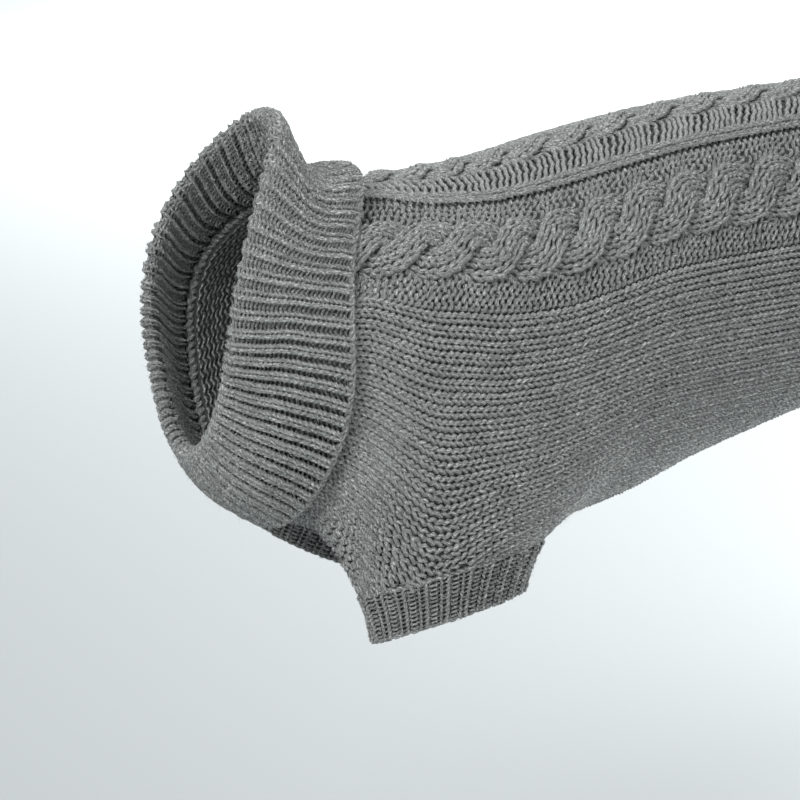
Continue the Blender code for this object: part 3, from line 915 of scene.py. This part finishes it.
# Sizes in mm. A knit rib takes its share of each pair, and another where the ribs are pulled open.
COLLAR_RIB = dict(
    pairs=62, knit_share=0.64, open_share=0.74, lean=0.2, apart=0, bar_lean=0.2,
    knit_height=1.6, bar_height=1.1, sharp=1, course=1.75, start=1.6,
    middle=0, lift=0.6, sink=2.3, depth=0.85, foot_sink=0.3,
    yarn=0.93, more=0.23, bar_yarn=0.52, bar_more=0.18,
    even_row=0.08, open=collar_open, slide=collar_slide, fold=collar_fold,
    # degrees from the top of the neck and mm from rib to rib
    pitches=((0, 7.8), (26, 7.6), (55, 7), (85, 6.3), (100, 6.2), (125, 6.5), (145, 6.5), (180, 6.2)),
)
EVEN_RIB = dict(
    COLLAR_RIB, even_row=0.5, open=nowhere, slide=nowhere, fold=nowhere, pitches=((0, 1), (180, 1))
)
CUFF_RIB = dict(
    EVEN_RIB, pairs=22, knit_share=0.5, open_share=0.5, lean=0.05, apart=-0.08, bar_lean=0.24,
    knit_height=1.1, bar_height=0.9, sharp=0, course=1.72, start=1.2, middle=-1.3, lift=0.35, sink=0,
    depth=0.8, foot_sink=0.9, yarn=0.62, more=0, bar_yarn=0.56, bar_more=0,
)
HEM_RIB = dict(
    EVEN_RIB, pairs=54, knit_height=2, course=2.2, start=1.5, middle=-1.6, sink=1.2, yarn=0.85,
    bar_yarn=0.85,
)
PAST_FOLD = 4  # mm of the outer piece beyond the rim
outer_courses = int((RIM + PAST_FOLD - COLLAR_RIB["start"]) / COLLAR_RIB["course"])
all_courses = int((collar.run[-1] - 0.8 - COLLAR_RIB["start"]) / COLLAR_RIB["course"])
knit_rib("collar_outer_knit", collar, np.arange(outer_courses), 8, COLLAR_RIB)
knit_rib("collar_inner_knit", collar, np.arange(outer_courses, all_courses), 6, COLLAR_RIB)

cuffs = {side: cuff_fabric(side) for side in ("left", "right")}
for side, cuff in cuffs.items():
    room = cuff.run[-1] - 2 * CUFF_RIB["start"]
    gaps = int(room / CUFF_RIB["course"])
    knit_rib(side + "_cuff_knit", cuff, np.arange(gaps + 1), 8, dict(CUFF_RIB, course=room / gaps))

hem = ring_fabric(HEM_RINGS, RIB_STEPS)
hem_courses = int((hem.run[-1] - HEM_RIB["start"]) / HEM_RIB["course"])
knit_rib("hem_knit", hem, np.arange(hem_courses), 6, HEM_RIB)


# ---------- edge chains
def rope(name, fabric, row, height, material, lay, radius, swing):
    """Two yarns laid round each other along a tube's grid row, like a cast-off edge."""
    size = fabric.last[1] + 1
    line, out = fabric.place(np.full(size, float(row)), np.arange(float(size)), np.full(size, height))
    run = run_lengths(line, 0)
    turns = round(run[-1] / (2 * lay))
    at = np.linspace(0, run[-1], turns * 12 + 1)[:-1]
    middle = np.stack([np.interp(at, run, line[:, k]) for k in range(3)], -1)
    outward = unit(np.stack([np.interp(at, run, out[:, k]) for k in range(3)], -1))
    tangent = unit(np.roll(middle, -1, axis=0) - np.roll(middle, 1, axis=0))
    across = unit(np.cross(tangent, outward))
    strands = []
    for ply in range(2):
        turn = math.tau * (at / run[-1] * turns + ply / 2)
        strands.append(middle + swing * (np.cos(turn)[:, None] * outward + np.sin(turn)[:, None] * across))
    path = np.array(strands)[:, :, None, :]
    uneven = noise.normal(0, 1, (3,) + path.shape[:2] + (1,))
    uneven = (uneven + np.roll(uneven, 1, axis=2) + np.roll(uneven, 2, axis=2)) / 1.7
    path = path + radius * 0.16 * (uneven[0] * outward + uneven[1] * across)[:, :, None, :]
    radius = radius * (1 + 0.14 * uneven[2])
    up = np.broadcast_to(outward[None, :, None, :], path.shape)
    present = np.ones(path.shape[:2], bool)
    return yarn_object(name, path, up, present, radius, material, closed=True, flat=1)


# piece: fabric, grid row, mm above it, material, mm of a lay, of the yarn's radius, of its swing
ROPES = {
    "collar_edge_chain": (collar, 0.3, 0.2, rib_wool, 3, 0.85, 0.5),
    "neck_seam_chain": (collar, collar.last[0] - 0.1, 0.5, rib_wool, 3, 1.25, 0.75),
}
for side, cuff in cuffs.items():
    ROPES[side + "_cuff_edge_chain"] = (cuff, RIB_STEPS - 1, -1.2, rib_wool, 2.4, 0.5, 0.32)
    ROPES[side + "_cuff_seam_chain"] = (cuff, 0, -2, body_wool, 3, 0.85, 0.45)
ROPES["hem_edge_chain"] = (hem, RIB_STEPS, -1.5, rib_wool, 3.6, 0.85, 0.65)
for label, sizes in ROPES.items():
    knits[label] = rope(label, *sizes)


# ---------- backing shells: their outer faces and walls are coloured with painted shade
BACKING_DEPTH = 0.75  # mm below the knitting's middle
GUTTER_DEPTH = 1.4


def under_stitches(row, column):
    """The backing's place below the face: deeper where the gutters are sunk."""
    down = np.interp(row, np.arange(len(back.run)), back.run)
    middle, ends, _ = band_ends(down)
    away = np.abs(bilinear(back.across, row, column) - middle)
    gutter = np.zeros(away.shape, bool)
    for band, (name, _, _) in enumerate(BANDS):
        if name.endswith("gutter"):
            gutter |= (away > ends[band]) & (away < ends[band + 1])
    return MIDDLE - np.where(gutter, GUTTER_DEPTH, BACKING_DEPTH)


back_shell = shell_object("back_shaded_backing", back, (80, 100), under_stitches, -5)
collar_shell = shell_object("collar_shaded_backing", collar, (30, 96), -1.9, -2.1)
cuff_shells = {
    side: shell_object(side + "_cuff_shaded_backing", cuff, (4, 60), -2.1, -2.6) for side, cuff in cuffs.items()
}
hem_shell = shell_object("hem_shaded_backing", hem, (6, 96), -2, -3.2)

# ---------- loose fibres
FUZZ_LENGTH = 2  # mm
FUZZ_WIDTH = 0.13
FUZZ_SPREAD = 0.4  # share by which the fibres lean out of the yarn unevenly
FUZZ_OUT = 0.45  # and evenly


def fuzz_object(name, stitches, many):
    """Loose fibre ends standing off the yarn, each a thin sliver."""
    bases, ways = [], []
    for path, up, present, half_width in stitches:
        there = np.argwhere(present)
        course, stitch = there[noise.integers(0, len(there), many // len(stitches))].T
        phase = noise.integers(0, path.shape[2], len(course))
        at = (course, stitch, phase)
        near = (course, stitch, np.where(phase + 1 < path.shape[2], phase + 1, phase - 1))
        outward, along = unit(up[at]), unit(path[near] - path[at])
        aside = unit(np.cross(along, outward))
        width = np.broadcast_to(half_width, path.shape[:3])[at][:, None]
        turn = noise.normal(0, 0.6, (len(course), 1))
        bases.append(path[at] + width * (np.cos(turn) * outward + np.sin(turn) * aside) * 0.8)
        spread = noise.normal(0, 1, (3, len(course), 1))
        way = along * spread[0] + aside * (spread[1] + np.sin(turn))
        ways.append(unit(way + outward * (FUZZ_OUT + FUZZ_SPREAD * spread[2])))
    base, way = np.concatenate(bases), np.concatenate(ways)
    length = FUZZ_LENGTH * (0.4 + noise.gamma(2, 0.3, (len(base), 1)))
    aside = unit(np.cross(way, noise.normal(0, 1, base.shape))) * FUZZ_WIDTH / 2
    corners = np.stack([base - aside, base + aside, base + way * length], 1)
    faces = np.arange(3 * len(base)).reshape(-1, 3)
    across = math.ceil(math.sqrt(len(base)))
    cell = np.stack([np.arange(len(base)) % across, np.arange(len(base)) // across], -1)[:, None, :]
    bake = (cell + np.array([[0.05, 0.05], [0.95, 0.05], [0.5, 0.95]])) / across
    return mesh_object(name, corners.reshape(-1, 3), [faces], [loose_wool], {"OFBake": bake.reshape(-1, 2)})


# piece: the knitting that its fibres stand on, and how many there are
FUZZ = {
    "back_fuzz": ([panel[0] for panel in PANELS], 44000),
    "collar_fuzz": (["collar_outer_knit"], 16000),
    "left_cuff_fuzz": (["left_cuff_knit"], 2000),
    "right_cuff_fuzz": (["right_cuff_knit"], 2000),
}
for label, (labels, many) in FUZZ.items():
    knits[label] = fuzz_object(label, [parts[of] for of in labels], many)


# ---------- pieces attached to the root, and the frame's nodes hidden
def declare(shell, slot, nodes, flat, *starts):
    """The shell and the yarn pieces whose names start so are attached to the root, and the frame's nodes
    that it stands for are hidden.
    """
    yarns = [piece for label, piece in knits.items() if label.startswith(starts)]
    for piece in yarns + [shell]:
        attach(piece, "root")
    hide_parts(*nodes)


BODY_STARTS = ("left_back", "left_flank", "right_back", "right_flank", "belly", "back")
declare(back_shell, "body_knit", ("back_panel", "belly_panel"), (0.44, 0.35), *BODY_STARTS)
declare(collar_shell, "rib_knit", ("collar",), (0.38, 0.09), "collar", "neck")
for side, shell in cuff_shells.items():
    declare(shell, "rib_knit", (side + "_cuff",), (0.185, 0.02), side + "_cuff")
declare(hem_shell, "rib_knit", ("hem_band",), (0.36, 0.028), "hem")


# ---------- stage, light and camera
FLOOR = -0.36
bpy.ops.mesh.primitive_plane_add(size=14, location=(0, 0, FLOOR))
floor = bpy.context.object
floor.name = "floor"
pale = bpy.data.materials.new("pale_floor")
pale.use_nodes = True
sockets = pale.node_tree.nodes["Principled BSDF"].inputs
sockets["Base Color"].default_value = (0.355, 0.378, 0.383, 1)
sockets["Roughness"].default_value = 0.9
floor.data.materials.append(pale)

world = bpy.data.worlds.new("studio")
bpy.context.scene.world = world
world.use_nodes = True
sockets = world.node_tree.nodes["Background"].inputs
sockets["Color"].default_value = (0.96, 0.985, 1, 1)
sockets["Strength"].default_value = 0.66


def aimed(name, data, place, way):
    """An object at a place that looks along a way."""
    made = bpy.data.objects.new(name, data)
    made.location = place
    made.rotation_euler = way.to_track_quat("-Z", "Y").to_euler()
    bpy.context.scene.collection.objects.link(made)
    return made


for name, place, aim, size, power in (
    ("key", (-1, -0.6, 0.85), (0.08, 0, -0.05), 0.7, 13.5),
    ("fill", (-0.2, -1.7, 0.1), (0.05, 0, -0.08), 1, 6.5),
    ("near_floor", (1, 0.1, -0.1), (0.3, 0.3, FLOOR), 0.3, 9),
    ("far_floor", (1.45, 2, 1.15), (2.1, 1.5, FLOOR), 1.2, 125),
):
    light = bpy.data.lights.new(name, "AREA")
    light.shape = "DISK"
    light.size = size
    light.energy = power
    aimed(name, light, place, Vector(aim) - Vector(place))

AIM = Vector((0.007, 0, -0.0854))
BACKWARD = Vector((-0.4513, -0.8488, 0.2756))
DISTANCE = 1.2
lens = bpy.data.cameras.new("camera")
lens.lens = 139.18
lens.sensor_width = 36
bpy.context.scene.camera = aimed("camera", lens, AIM + BACKWARD * DISTANCE, -BACKWARD)
bpy.context.scene.view_settings.view_transform = "Standard"
